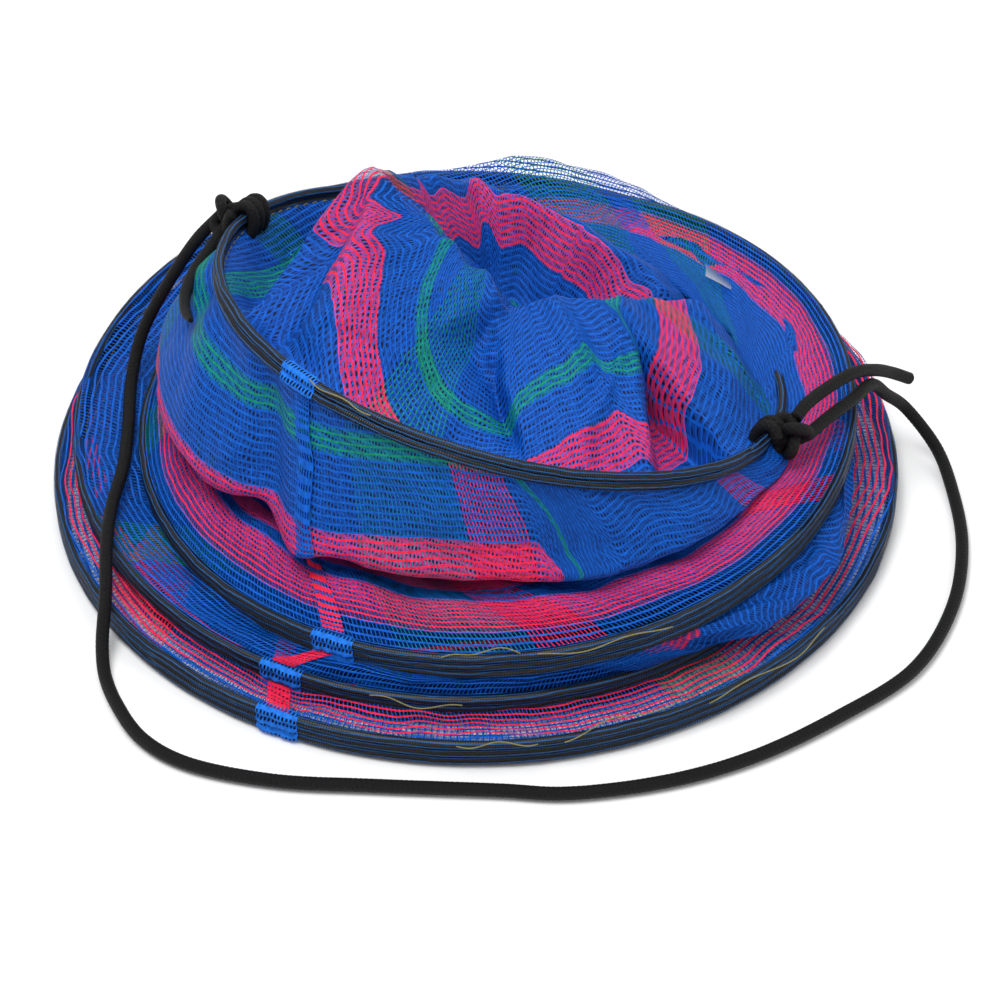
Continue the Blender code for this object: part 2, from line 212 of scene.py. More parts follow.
class Hoop:
    """A hoop's place, read from its hem in the frame."""

    def __init__(self, name):
        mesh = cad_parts[f"{name}_hoop_hem"].data
        points = np.array([vertex.co for vertex in mesh.vertices])
        middle = points.mean(axis=0)
        _, _, axes = np.linalg.svd(points - middle, full_matrices=False)
        self.normal = axes[2] * np.sign(axes[2][2])
        self.across = np.array([self.normal[2], 0, -self.normal[0]])
        self.across /= np.linalg.norm(self.across)
        self.along = np.cross(self.normal, self.across)
        heights = (points - middle) @ self.normal
        self.centre = middle + self.normal * (heights.max() + heights.min()) / 2
        flat = points - self.centre
        reach = np.hypot(flat @ self.across, flat @ self.along)
        self.radius = (reach.max() + reach.min() / math.cos(math.pi / HEM_FACETS)) / 2
        self.half_high = (heights.max() - heights.min()) / 2
        self.turns = round((self.half_high - END_TURN_HALF_HIGH) * 2 / TURN_PITCH) + 1
        self.name = name

    def point(self, angle, outward=0.0, height=0.0):
        """World points at angles in radians, outward from the rod and up along the hoop's axis."""
        angle, outward, height = np.broadcast_arrays(angle, outward, height)
        reach = (self.radius + outward)[..., None]
        flat = np.cos(angle)[..., None] * self.across + np.sin(angle)[..., None] * self.along
        return self.centre + reach * flat + height[..., None] * self.normal


hoops = {name: Hoop(name) for name in HOOP_NAMES}
for hoop in hoops.values():
    print(hoop.name, hoop.turns, "turns, radius", round(hoop.radius * 1000, 1), "mm")

# %% [markdown]
# ## One way to make a sheet
# A hem, a wall, a rod and a rope are all the same idea: a flat grid that is bent into place. So
# one helper makes a grid with bmesh, bends it by a function, welds the edge where it closes and
# writes the real lengths into its UV map.

# %% The bent grid
WELD_GAP = 0.005 * MM


def bent_grid(name, columns, rows, place, size=None, weld=True, flip=False):
    """A grid bent by place(u, v), with u and v from 0 to 1; size is (metres along u, along v).

    place returns the points, and may return (points, u metres, v metres) for its own cloth map.
    """
    bm = bmesh.new()
    bmesh.ops.create_grid(bm, x_segments=columns, y_segments=rows, size=0.5)
    if flip:
        bmesh.ops.reverse_faces(bm, faces=bm.faces)
    mesh = bpy.data.meshes.new(name)
    bm.to_mesh(mesh)
    bm.free()
    flat = np.empty(len(mesh.vertices) * 3)
    mesh.vertices.foreach_get("co", flat)
    flat = flat.reshape(-1, 3) + 0.5
    u, v = flat[:, 0], flat[:, 1]
    placed = place(u, v)
    points, run, rise = placed if isinstance(placed, tuple) else (placed, u * size[0], v * size[1])
    corners = np.empty(len(mesh.loops), int)
    mesh.loops.foreach_get("vertex_index", corners)
    cloth = mesh.uv_layers.new(name="cloth")
    cloth.data.foreach_set("uv", np.stack([run[corners], rise[corners]], axis=1).ravel())
    shares = mesh.attributes.new("share", "FLOAT", "CORNER")
    shares.data.foreach_set("value", v[corners].astype(np.float32))
    mesh.vertices.foreach_set("co", points.astype(np.float32).ravel())
    mesh.shade_smooth()
    if weld:
        bm = bmesh.new()
        bm.from_mesh(mesh)
        bmesh.ops.remove_doubles(bm, verts=bm.verts, dist=WELD_GAP)
        bm.to_mesh(mesh)
        bm.free()
    piece = bpy.data.objects.new(name, mesh)
    bpy.context.scene.collection.objects.link(piece)
    return piece


def capped(piece):
    """Closes a tube's open ends and turns its faces outward."""
    bm = bmesh.new()
    bm.from_mesh(piece.data)
    bmesh.ops.holes_fill(bm, edges=[edge for edge in bm.edges if edge.is_boundary], sides=0)
    bmesh.ops.recalc_face_normals(bm, faces=bm.faces)
    bm.to_mesh(piece.data)
    bm.free()
    return piece


# %% [markdown]
# ## Unevenness
# No two folds of soft net are alike. Long waves round the trap, from numbers drawn with a fixed
# seed, make its pleats; a finer three-way noise crumples the cloth between them. Both give the
# same folds each time the script runs.

# %% Pleats and crumples
RIPPLE_WAVES = 7
RIPPLE_GAIN = 1.8
CRUMPLES = ((34, 2.2 * MM, 0.0), (85, 0.8 * MM, 7.0))  # waves per metre, depth, shift of the noise
NOISE_SEED = 3
noise.seed_set(NOISE_SEED)


def ripple(angle, height, seed, low, high):
    """Soft unevenness from -1 to 1 that closes round the trap: a sum of a few waves."""
    chance = np.random.default_rng(seed)
    total = 0
    for _ in range(RIPPLE_WAVES):
        waves = chance.integers(low, high + 1)
        total = total + np.sin(
            waves * angle + chance.uniform(-6, 6) * height + chance.uniform(0, 2 * math.pi)
        )
    return total / RIPPLE_WAVES * RIPPLE_GAIN


def crumple(points, held):
    """Adds the small uneven folds of soft cloth, in every direction, where held is 1."""
    for scale, depth, shift in CRUMPLES:
        moved = np.array([noise.noise_vector(Vector(p) * scale + Vector((shift, 0, 0))) for p in points])
        points = points + moved * (held * depth)[:, None]
    return points


def eased(value):
    """Smoothstep from 0 to 1."""
    value = np.clip(value, 0, 1)
    return value * value * (3 - 2 * value)


# %% [markdown]
# ## Rope
# The handle is one solid-braid rope, 6 mm thick, tied to the mouth hoop at both ends. It drops off
# the left of the heap, lies on the table round the front and climbs the right side. A tube is
# bent along that route, and its radius rises on each strand and falls between them, so that the
# braid is real and catches the light.

# %% Rope tools
ROPE_RADIUS = 3.0 * MM
BRAID_STRANDS = 6
BRAID_LEAD = 13 * MM
BRAID_GROOVE, BRAID_CROWN = 0.86, 0.15
CURVE_STEPS = 60


def smooth_route(route, step):
    """Evenly spaced points on the centripetal Catmull-Rom curve through a route."""
    points = np.array(route, float)
    points = np.vstack([2 * points[0] - points[1], points, 2 * points[-1] - points[-2]])
    curve = []
    for a, b, c, d in zip(points, points[1:], points[2:], points[3:]):
        knots = np.cumsum([0, *(np.linalg.norm(q - p) ** 0.5 for p, q in ((a, b), (b, c), (c, d)))])
        t = np.linspace(knots[1], knots[2], CURVE_STEPS, endpoint=False)[:, None]
        ab = a + (b - a) * (t - knots[0]) / (knots[1] - knots[0])
        bc = b + (c - b) * (t - knots[1]) / (knots[2] - knots[1])
        cd = c + (d - c) * (t - knots[2]) / (knots[3] - knots[2])
        abc = ab + (bc - ab) * (t - knots[0]) / (knots[2] - knots[0])
        bcd = bc + (cd - bc) * (t - knots[1]) / (knots[3] - knots[1])
        curve.append(abc + (bcd - abc) * (t - knots[1]) / (knots[2] - knots[1]))
    curve = np.vstack([*curve, points[-2]])
    walked = np.concatenate([[0], np.cumsum(np.linalg.norm(np.diff(curve, axis=0), axis=1))])
    even = np.linspace(0, walked[-1], max(3, int(walked[-1] / step) + 1))
    return np.stack([np.interp(even, walked, curve[:, axis]) for axis in range(3)], axis=1)


def tube(name, path, radius, sides, finish, shape=None):
    """A tube along a path; shape(walked, angle) scales the radius."""
    path = np.array(path)
    ahead = np.gradient(path, axis=0)
    ahead /= np.linalg.norm(ahead, axis=1)[:, None]
    side = np.cross(ahead[0], (0.31, 0.2, 0.93))
    sides_along = []
    for direction in ahead:
        side = side - direction * (side @ direction)
        side = side / np.linalg.norm(side)
        sides_along.append(side)
    side = np.array(sides_along)
    up = np.cross(ahead, side)
    walked = np.concatenate([[0], np.cumsum(np.linalg.norm(np.diff(path, axis=0), axis=1))])
    last = len(path) - 1

    def place(u, v):
        at = np.rint(u * last).astype(int)
        angle = 2 * math.pi * v
        reach = radius * (1 if shape is None else shape(walked[at], angle))
        around = np.cos(angle)[:, None] * side[at] + np.sin(angle)[:, None] * up[at]
        return path[at] + np.broadcast_to(reach, at.shape)[:, None] * around, walked[at], v

    piece = capped(bent_grid(name, last, sides, place))
    piece.data.materials.append(finish)
    return piece


def braid(walked, angle):
    """How far the braid's strands stand out, as a scale on the rope's radius."""
    turn = 2 * math.pi * walked / BRAID_LEAD
    one = np.abs(np.cos((BRAID_STRANDS * (angle + turn)) / 2))
    other = np.abs(np.cos((BRAID_STRANDS * (angle - turn)) / 2))
    return BRAID_GROOVE + BRAID_CROWN * np.maximum(one, other)


# %% [markdown]
# The rope's material knows the same strands, from the tube's own map of length and turn. It is
# darker in the grooves as painted shade, and faint pale streaks along each strand are painted glints on its
# filaments.

# %% Rope material


def braided_polyester():
    """Black braided polyester: nearly matt, with painted shade in the grooves and painted pale glints along
    the filaments of each strand.
    """
    made, tree, shader = new_material("braided_polyester", 0.6, ior=1.35)
    split = node(tree, "ShaderNodeSeparateXYZ", node(tree, "ShaderNodeUVMap", uv_map="cloth").outputs[0])
    lanes = []
    for way in (1, -1):
        turn = node(tree, "ShaderNodeMath", split.outputs[0], way / BRAID_LEAD, operation="MULTIPLY")
        lane = node(tree, "ShaderNodeMath", turn.outputs[0], split.outputs[1], operation="ADD")
        lane = node(tree, "ShaderNodeMath", lane.outputs[0], float(BRAID_STRANDS), operation="MULTIPLY")
        lanes.append(node(tree, "ShaderNodeMath", lane.outputs[0], 0.5, operation="PINGPONG").outputs[0])
    top = node(tree, "ShaderNodeMath", lanes[0], lanes[1], operation="MINIMUM")
    grid = node(tree, "ShaderNodeCombineXYZ", lanes[0], lanes[1], split.outputs[0])
    fibres = node(tree, "ShaderNodeTexNoise", grid.outputs[0], None, 9.0, 4.0, 0.7)
    painted_groove_shade = node(tree, "ShaderNodeMapRange", top.outputs[0], 0.05, 0.34, 1.0, 0.25, clamp=True)
    glint = node(tree, "ShaderNodeMapRange", fibres.outputs[0], 0.42, 0.75, 0.0, 1.0, clamp=True)
    bright = node(tree, "ShaderNodeMath", painted_groove_shade.outputs[0], glint.outputs[0], operation="MULTIPLY")
    # Painted shade in the grooves and painted glints on the strands, laid into the base colour.
    tree.links.new(two_tone(tree, bright.outputs[0], "#010101", "#0d0c0d"), shader.inputs["Base Color"])
    bump = node(tree, "ShaderNodeBump", 0.7, 0.0004)
    tree.links.new(bright.outputs[0], bump.inputs["Height"])
    tree.links.new(bump.outputs[0], shader.inputs["Normal"])
    return made


# %% [markdown]
# The route is the same one as the frame's own rope: points along its middle, in metres, from the
# left knot round the front to the right knot. Each cut end leaves its own knot as a short tail.

# %% Rope routes
HANDLE_ROUTE = (
    (-0.1235, 0.0600, 0.1043), (-0.1335, 0.0570, 0.0945), (-0.1500, 0.0520, 0.0700),
    (-0.1625, 0.0430, 0.0485), (-0.1668, 0.0240, 0.0355), (-0.1655, -0.0090, 0.0320),
    (-0.1650, -0.0380, 0.0315), (-0.1675, -0.0660, 0.0310), (-0.1675, -0.0900, 0.0295),
    (-0.1660, -0.1150, 0.0215), (-0.1665, -0.1350, 0.0090), (-0.1645, -0.1480, 0.0035),
    (-0.1567, -0.1680, 0.0035), (-0.1440, -0.1880, 0.0035), (-0.1250, -0.2020, 0.0035),
    (-0.0865, -0.2128, 0.0035), (-0.0420, -0.2160, 0.0035), (0.0115, -0.2187, 0.0035),
    (0.0400, -0.2205, 0.0035), (0.0851, -0.2128, 0.0035), (0.1216, -0.1986, 0.0035),
    (0.1600, -0.1745, 0.0035), (0.1960, -0.1450, 0.0035), (0.2180, -0.1050, 0.0035),
    (0.2279, -0.0632, 0.0035), (0.2285, -0.0250, 0.0034), (0.2230, 0.0030, 0.0090),
    (0.2080, 0.0120, 0.0260), (0.1960, 0.0030, 0.0420), (0.1860, -0.0090, 0.0575),
    (0.1745, -0.0270, 0.0625), (0.1630, -0.0410, 0.0640), (0.1515, -0.0550, 0.0645),
)
LEFT_TAIL_ROUTE = (
    (-0.1193, 0.0539, 0.1041), (-0.1245, 0.0440, 0.1005), (-0.1315, 0.0270, 0.0985),
    (-0.1345, 0.0080, 0.0995), (-0.1330, -0.0110, 0.1025), (-0.1290, -0.0250, 0.1075),
)
RIGHT_TAIL_ROUTE = (
    (0.1460, -0.0520, 0.0722), (0.1520, -0.0430, 0.0735), (0.1750, -0.0160, 0.0695),
    (0.1880, -0.0010, 0.0600), (0.1985, 0.0110, 0.0490), (0.2085, 0.0180, 0.0400),
)
print("handle route of", len(HANDLE_ROUTE), "points")

# %% [markdown]
# Each end is tied round the mouth hoop in an overhand knot. An overhand knot closed on itself is
# a trefoil, so its tube follows one, and a hitch is a coil stretched over the hem's section.

# %% Knots, hitches and runs
KNOT_SIZE = 2.9 * MM
HITCH_OUT, HITCH_UP, HITCH_PITCH = 5.8 * MM, 8.4 * MM, 6.2 * MM
HITCH_START = 0.6
ROUTE_STEP = 0.75 * MM


def overhand_knot(name, replaced, middle, turn, finish):
    """A trefoil of rope, pulled up tight where the rope's two parts leave the hoop."""
    middle = np.array(middle)
    t = np.linspace(0, 2 * math.pi, 261)
    flat = (np.sin(t) + 2 * np.sin(2 * t), np.cos(t) - 2 * np.cos(2 * t))
    shape = np.stack([*flat, -1.5 * np.sin(3 * t)], 1)
    c, s = math.cos(turn), math.sin(turn)
    spin = np.array([[c, 0, s], [0, 1, 0], [-s, 0, c]]) @ np.array([[1, 0, 0], [0, c, -s], [0, s, c]])
    piece = tube(name, middle + KNOT_SIZE * shape @ spin.T, ROPE_RADIUS * 0.92, 24, finish, braid)
    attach(piece, "mouth_hoop")
    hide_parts(replaced)
    return piece


def hitch(name, degrees, turns, finish):
    """Turns of rope round the mouth hoop's hem, which the knot sits on."""
    hoop = hoops["mouth"]
    t = np.linspace(0, 1, 260)
    turned = 2 * math.pi * turns * t + HITCH_START
    outward = HITCH_OUT * np.cos(turned)
    height = HITCH_UP * np.sin(turned)
    angle = math.radians(degrees) + (t - 0.5) * turns * HITCH_PITCH / hoop.radius
    piece = tube(name, hoop.point(angle, outward, height), ROPE_RADIUS * 0.95, 24, finish, braid)
    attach(piece, "mouth_hoop")
    return piece


def rope_run(name, replaced, route, finish, taper=None):
    """A length of braid along a route; taper(share) thins it toward a cut end."""
    path = smooth_route(route, ROUTE_STEP)
    length = float(np.linalg.norm(np.diff(path, axis=0), axis=1).sum())

    def shape(walked, angle):
        scale = braid(walked, angle)
        return scale if taper is None else scale * taper(walked / length)

    piece = tube(name, path, ROPE_RADIUS, 26, finish, shape)
    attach(piece, "mouth_hoop")
    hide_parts(replaced)
    print(name, round(length, 3), "m")
    return piece


def melted_point(share):
    """A cut end that was melted and rolled thin."""
    return np.interp(share, (0, 0.6, 0.9, 1), (1, 0.95, 0.75, 0.4))


# %% [markdown]
# Both tails and the handle are separate runs that end inside a knot. The knots and hitches are
# the same rope as the handle.

# %% The rope
rope_black = braided_polyester()
tied = (
    overhand_knot("left_rope_knot", "left_knot", (-0.1175, 0.0585, 0.1065), 0.7, rope_black),
    overhand_knot("right_rope_knot", "right_knot", (0.1430, -0.0575, 0.0668), 2.1, rope_black),
    hitch("left_hitch", 156, 3, rope_black),
    hitch("right_hitch", 335, 2, rope_black),
)
rope_run("handle_braid", "handle_rope", HANDLE_ROUTE, rope_black)
rope_run("left_tail_braid", "left_rope_tail", LEFT_TAIL_ROUTE, rope_black, melted_point)
rope_run("right_tail_braid", "right_rope_tail", RIGHT_TAIL_ROUTE, rope_black)

# %% [markdown]
# ## Nylon net
# The net is a leno weave: thick yarns run round the trap 3.5 mm apart, and fine cross yarns hold
# them every 1.8 mm. Some yarns are red or green, which makes stripes one way, stripes the other
# way and mixed squares where they cross. Drawing each yarn as geometry would take millions of
# faces, so the weave is cut out of the sheet by its material: it reads the sheet's own UV map,
# which holds real metres along and across the cloth.

# %% Yarns
BLUE = "#075ac2"
# The layers behind are painted darker as shade, with painted shadow between their yarns.
SHADED_BLUE = "#064398"
SHADOW_BLUE = "#02183e"
RED = "#f02448"
GREEN = "#0c8a68"
TEAL = "#0c78a0"
WANDERS = ((38.0, 0.0026), (260.0, 0.0007))  # noise scale and how far it moves a yarn, in metres
YARN_FUZZ = 0.12


def yarn_mask(tree, along, spacing, width):
    """1 on each yarn and 0 between, with the distance to the yarn's middle as a second result."""
    scaled = node(tree, "ShaderNodeMath", along, 1 / spacing, operation="MULTIPLY").outputs[0]
    away = node(tree, "ShaderNodeMath", scaled, 0.5, operation="PINGPONG").outputs[0]
    half = width / spacing / 2
    mask = node(tree, "ShaderNodeMapRange", away, half * (1 + YARN_FUZZ), half * (1 - YARN_FUZZ), 0.0, 1.0,
                clamp=True)
    return mask.outputs[0], away


def wandering(tree, uv):
    """The cloth map with its yarns pushed a little off their straight lines."""
    place = uv
    for scale, depth in WANDERS:
        wander = node(tree, "ShaderNodeTexNoise", uv, None, scale, 1.0)
        drift = node(tree, "ShaderNodeVectorMath", wander.outputs[1], (0.5, 0.5, 0.5), operation="SUBTRACT")
        drift = node(tree, "ShaderNodeVectorMath", drift.outputs[0], None, None, depth, operation="SCALE")
        place = node(tree, "ShaderNodeVectorMath", place, drift.outputs[0], operation="ADD").outputs[0]
    return place


# %% [markdown]
# Folded net is several layers deep, and each layer shows through the one in front. Modelling them
# all would be slow and would hide most of the work, so the layers behind are a second weave in
# the same material: turned a little, darker as painted shade, with thicker yarns, and tinted by the same
# stripes, with painted shadow between its yarns.

# %% Layers behind
BEHIND_GAPS = (3.3 * MM, 1.8 * MM)
BEHIND_YARNS = (1.7 * MM, 0.8 * MM)
BEHIND_SHIFT, BEHIND_TURN = (0.011, 0.007, 0), (0, 0, 0.35)
STRIPE_SHARE = 0.5


def shaded_weave_behind(tree, place, up, rows):
    """The colour of the folded layers behind the net: painted shade on its yarns and painted shadow between
    them.
    """
    turned = node(tree, "ShaderNodeMapping", place, BEHIND_SHIFT, BEHIND_TURN, (1, 1, 1))
    behind = node(tree, "ShaderNodeSeparateXYZ", turned.outputs[0])
    thick_mask, _ = yarn_mask(tree, behind.outputs[1], BEHIND_GAPS[0], BEHIND_YARNS[0])
    fine_mask, _ = yarn_mask(tree, behind.outputs[0], BEHIND_GAPS[1], BEHIND_YARNS[1])
    cover = node(tree, "ShaderNodeMath", thick_mask, fine_mask, operation="MAXIMUM").outputs[0]
    layer = node(tree, "ShaderNodeMix", STRIPE_SHARE, data_type="RGBA")
    layer.inputs[MIX_A].default_value = linear(SHADED_BLUE)
    tree.links.new(banded(tree, up, rows, SHADED_BLUE), layer.inputs[MIX_B])
    depths = node(tree, "ShaderNodeMix", cover, data_type="RGBA")
    depths.inputs[MIX_A].default_value = linear(SHADOW_BLUE)
    tree.links.new(layer.outputs[MIX_RESULT], depths.inputs[MIX_B])
    return depths.outputs[MIX_RESULT]


# %% [markdown]
# Dyed nylon yarn is matt, deep in colour and a little fuzzy. The net's material lays coloured
# rows over coloured columns, cuts the gaps out by its alpha and rounds each yarn with a bump.
# Where its point attribute for the layers behind is 1, these layers, painted darker as shade, fill the
# gaps.

# %% Net material


def net_material(name, height, around, rows, columns, thick=1.0, fine=0.42, ground=BLUE,
                 gaps=(3.5, 1.8), weft=None):
    """Nylon net; height and around are the sheet's size in metres, yarns and gaps are in mm."""
    made, tree, shader = new_material(name, 0.65, ior=1.25)
    uv = node(tree, "ShaderNodeUVMap", uv_map="cloth").outputs[0]
    place = wandering(tree, uv)
    split = node(tree, "ShaderNodeSeparateXYZ", place)
    run, rise = split.outputs[0], split.outputs[1]
    thick_mask, thick_away = yarn_mask(tree, rise, gaps[0] * MM, thick * MM)
    fine_mask, fine_away = yarn_mask(tree, run, gaps[1] * MM, fine * MM)
    up = node(tree, "ShaderNodeMath", rise, 1 / height, operation="MULTIPLY").outputs[0]
    along = node(tree, "ShaderNodeMath", run, 1 / around, operation="MULTIPLY").outputs[0]
    colour = node(tree, "ShaderNodeMix", thick_mask, data_type="RGBA")
    tree.links.new(banded(tree, along, columns, weft or ground), colour.inputs[MIX_A])
    tree.links.new(banded(tree, up, rows, ground), colour.inputs[MIX_B])
    cover = node(tree, "ShaderNodeMath", thick_mask, fine_mask, operation="MAXIMUM").outputs[0]
    tint = node(tree, "ShaderNodeMix", cover, data_type="RGBA")
    tree.links.new(shaded_weave_behind(tree, place, up, rows), tint.inputs[MIX_A])
    tree.links.new(colour.outputs[MIX_RESULT], tint.inputs[MIX_B])
    shade = node(tree, "ShaderNodeTexNoise", uv, None, 420.0, 3.0)
    tone = node(tree, "ShaderNodeMapRange", shade.outputs[0], 0.3, 0.7, 0.7, 1.2)
    toned = node(tree, "ShaderNodeVectorMath", tint.outputs[MIX_RESULT], operation="SCALE")
    tree.links.new(tone.outputs[0], toned.inputs[3])
    tree.links.new(toned.outputs[0], shader.inputs["Base Color"])
    # The painted shaded layers behind fill the gaps as far as this point attribute says.
    lining = node(tree, "ShaderNodeAttribute", attribute_name="lining").outputs[2]
    filled = node(tree, "ShaderNodeMath", cover, lining, operation="MAXIMUM")
    tree.links.new(filled.outputs[0], shader.inputs["Alpha"])
    near = node(tree, "ShaderNodeMath", thick_away, 0.5, operation="MULTIPLY")
    near = node(tree, "ShaderNodeMath", near.outputs[0], fine_away, operation="MINIMUM")
    bump = node(tree, "ShaderNodeBump", 0.7, 0.0007, invert=True)
    tree.links.new(near.outputs[0], bump.inputs["Height"])
    tree.links.new(bump.outputs[0], shader.inputs["Normal"])
    return made


# %% [markdown]
# ## Wound rods
# Each hoop is one plastic rod wound round two or three times. Where a turn ends, the rod climbs
# to the next level in a short crossover, which is why the stack keeps its height all the way.
# The plastic was extruded, so it has faint lengthwise drag lines and a dull shine.

# %% Rods
CROSSOVER = 0.08  # the part of a turn that the climb takes
ROD_END = 0.1  # the part of the last turn that is left out, where the rod ends
ROD_STEPS = 110
ROD_SIDES = 12
ROD_GIRTH = 13 * MM
DRAG_LINES = (14, 1400, 1)


def rod_plastic():
    """Extruded plastic: nearly black, with faint drag lines and a dull shine."""
    made, tree, shader = new_material("extruded_plastic", 0.42)
    uv = node(tree, "ShaderNodeUVMap", uv_map="cloth").outputs[0]
    stretch = node(tree, "ShaderNodeMapping", uv, (0, 0, 0), (0, 0, 0), DRAG_LINES)
    streaks = node(tree, "ShaderNodeTexNoise", stretch.outputs[0], None, 1.0, 3.0)
    tree.links.new(two_tone(tree, streaks.outputs[0], "#0d0c0c", "#3a332d"), shader.inputs["Base Color"])
    bump = node(tree, "ShaderNodeBump", 0.3, 0.0001)
    tree.links.new(streaks.outputs[0], bump.inputs["Height"])
    tree.links.new(bump.outputs[0], shader.inputs["Normal"])
    return made


def wound_rod(hoop, finish):
    """One hoop's rod, wound up in level turns with a short climb between them."""
    last = hoop.turns - ROD_END
    length = last * 2 * math.pi * hoop.radius

    def place(u, v):
        turned = u * last
        level = np.floor(turned)
        climb = eased((turned - level - 1 + CROSSOVER) / CROSSOVER)
        height = (level + climb - (hoop.turns - 1) / 2) * TURN_PITCH
        around = 2 * math.pi * v
        return hoop.point(
            2 * math.pi * turned,
            ROD_RADIUS * np.cos(around),
            height + ROD_RADIUS * np.sin(around),
        )

    size = (length, ROD_GIRTH)
    piece = capped(bent_grid(f"{hoop.name}_wound_rod", int(ROD_STEPS * last), ROD_SIDES, place, size))
    piece.data.materials.append(finish)
    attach(piece, f"{hoop.name}_hoop")
    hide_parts(f"{hoop.name}_hoop_coil")
    return piece


plastic = rod_plastic()
for hoop in hoops.values():
    piece = wound_rod(hoop, plastic)
    print(piece.name, len(piece.data.polygons), "faces")

# %% [markdown]
# ## Hems
# The net is folded round the rods and sewn. Drawn tight, it follows each rod and sinks a little
# between them, and the dark plastic shows through its holes. The sleeve is a grid bent round the
# stack of rods and left open where the stitching closes it.

# %% Hem sleeves
HEM_SLACK = 0.3 * MM
HEM_DIP = 0.9 * MM
SEWN_EDGE = 3.6  # how far round the section the open edge is, in rod spreads past two half rounds
DIP_POWER = 1.6


def sleeve_section(hoop, share):
    """Outward and upward offsets of the sleeve: it hugs each rod and dips in between them.

    The third result is the length walked round it, from the middle of the outer side.
    """
    spread = (hoop.turns - 1) * TURN_PITCH / 2
    reach = ROD_RADIUS + HEM_SLACK
    half_round = math.pi * reach
    total = 2 * half_round + 4 * spread
    open_edge = 2 * half_round + SEWN_EDGE * spread
    walked = (open_edge + share * total) % total
    turn = np.clip(walked / reach, 0, math.pi)
    turn = turn + np.clip((walked - half_round - 2 * spread) / reach, 0, math.pi)
    side = np.clip(walked - half_round, 0, 2 * spread)
    other = np.clip(walked - 2 * half_round - 2 * spread, 0, 2 * spread)
    outward = -reach * np.cos(turn)
    upward = -spread + side - other - reach * np.sin(turn)
    dip = HEM_DIP * (0.5 - 0.5 * np.cos(2 * math.pi * (upward + spread) / TURN_PITCH)) ** DIP_POWER
    outward = outward - np.sign(outward) * dip * (np.abs(upward) < spread)
    return outward, upward, open_edge + share * total - total - half_round - spread


def hem_sleeve(hoop, finish):
    """The net sleeve round one hoop's rods, a little uneven all the way."""
    around = 2 * math.pi * hoop.radius

    def place(u, v):
        angle = 2 * math.pi * u
        outward, upward, walked = sleeve_section(hoop, v)
        loose = 1 + 0.05 * ripple(angle, 2 * v, hoop.turns, 9, 60)
        raised = upward * (1 + 0.03 * ripple(angle, v, 4, 5, 31))
        return hoop.point(angle, outward * loose, raised), u * around, walked

    piece = bent_grid(f"{hoop.name}_net_hem", 420, 52, place, flip=True)
    piece.data.materials.append(finish)
    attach(piece, f"{hoop.name}_hoop")
    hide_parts(f"{hoop.name}_hoop_hem")
    return piece


# Tightly drawn nylon net: fine blue yarns over near-black ones, so that the hems look dark.
hem_net = net_material(
    "hem_nylon_net", 0.042, 1.2, [], [], thick=0.5, fine=0.3, ground="#225a94", gaps=(2.2, 1.1),
    weft="#15181d",
)
for hoop in hoops.values():
    piece = hem_sleeve(hoop, hem_net)
    print(piece.name, len(piece.data.polygons), "faces")

# %% [markdown]
# ## Net walls
# The wall between two hoops is cut 20 cm high, so folded down it must go somewhere: it runs in
# under the upper hoop, doubles back and comes out to that hoop's hem. Each wall is drawn as a
# profile of a few rows from the lower hem to the upper one, and bumps at chosen angles push a
# row out or up where the net bellies.

# %% Smooth profiles


def through(points, share):
    """Points on a smooth curve through the given rows of points, at shares from 0 to 1."""
    count = len(points)
    at = np.clip(share, 0, 1) * (count - 1)
    start = np.clip(np.floor(at).astype(int), 0, count - 2)
    f = (at - start)[:, None]
    rows = np.arange(len(at))
    p = [points[np.clip(start + step, 0, count - 1), rows] for step in (-1, 0, 1, 2)]
    return 0.5 * (
        2 * p[1]
        + (p[2] - p[0]) * f
        + (2 * p[0] - 5 * p[1] + 4 * p[2] - p[3]) * f**2
        + (3 * p[1] - p[0] - 3 * p[2] + p[3]) * f**3
    )


def near_angle(angle, middle, spread):
    """A soft bump, 1 at the middle angle, in degrees."""
    off = (angle - math.radians(middle) + math.pi) % (2 * math.pi) - math.pi
    return np.exp(-((off / math.radians(spread)) ** 2))


# %% [markdown]
# A wall's own shape is its profile, plus its bumps, plus the pleats and crumples of loose net,
# which fade out toward the hems that hold it. Nothing may sink into the table.

# %% The shape of a wall
HELD_REACH, HELD_POWER = 7, 1.5
LOWEST = 0.7 * MM


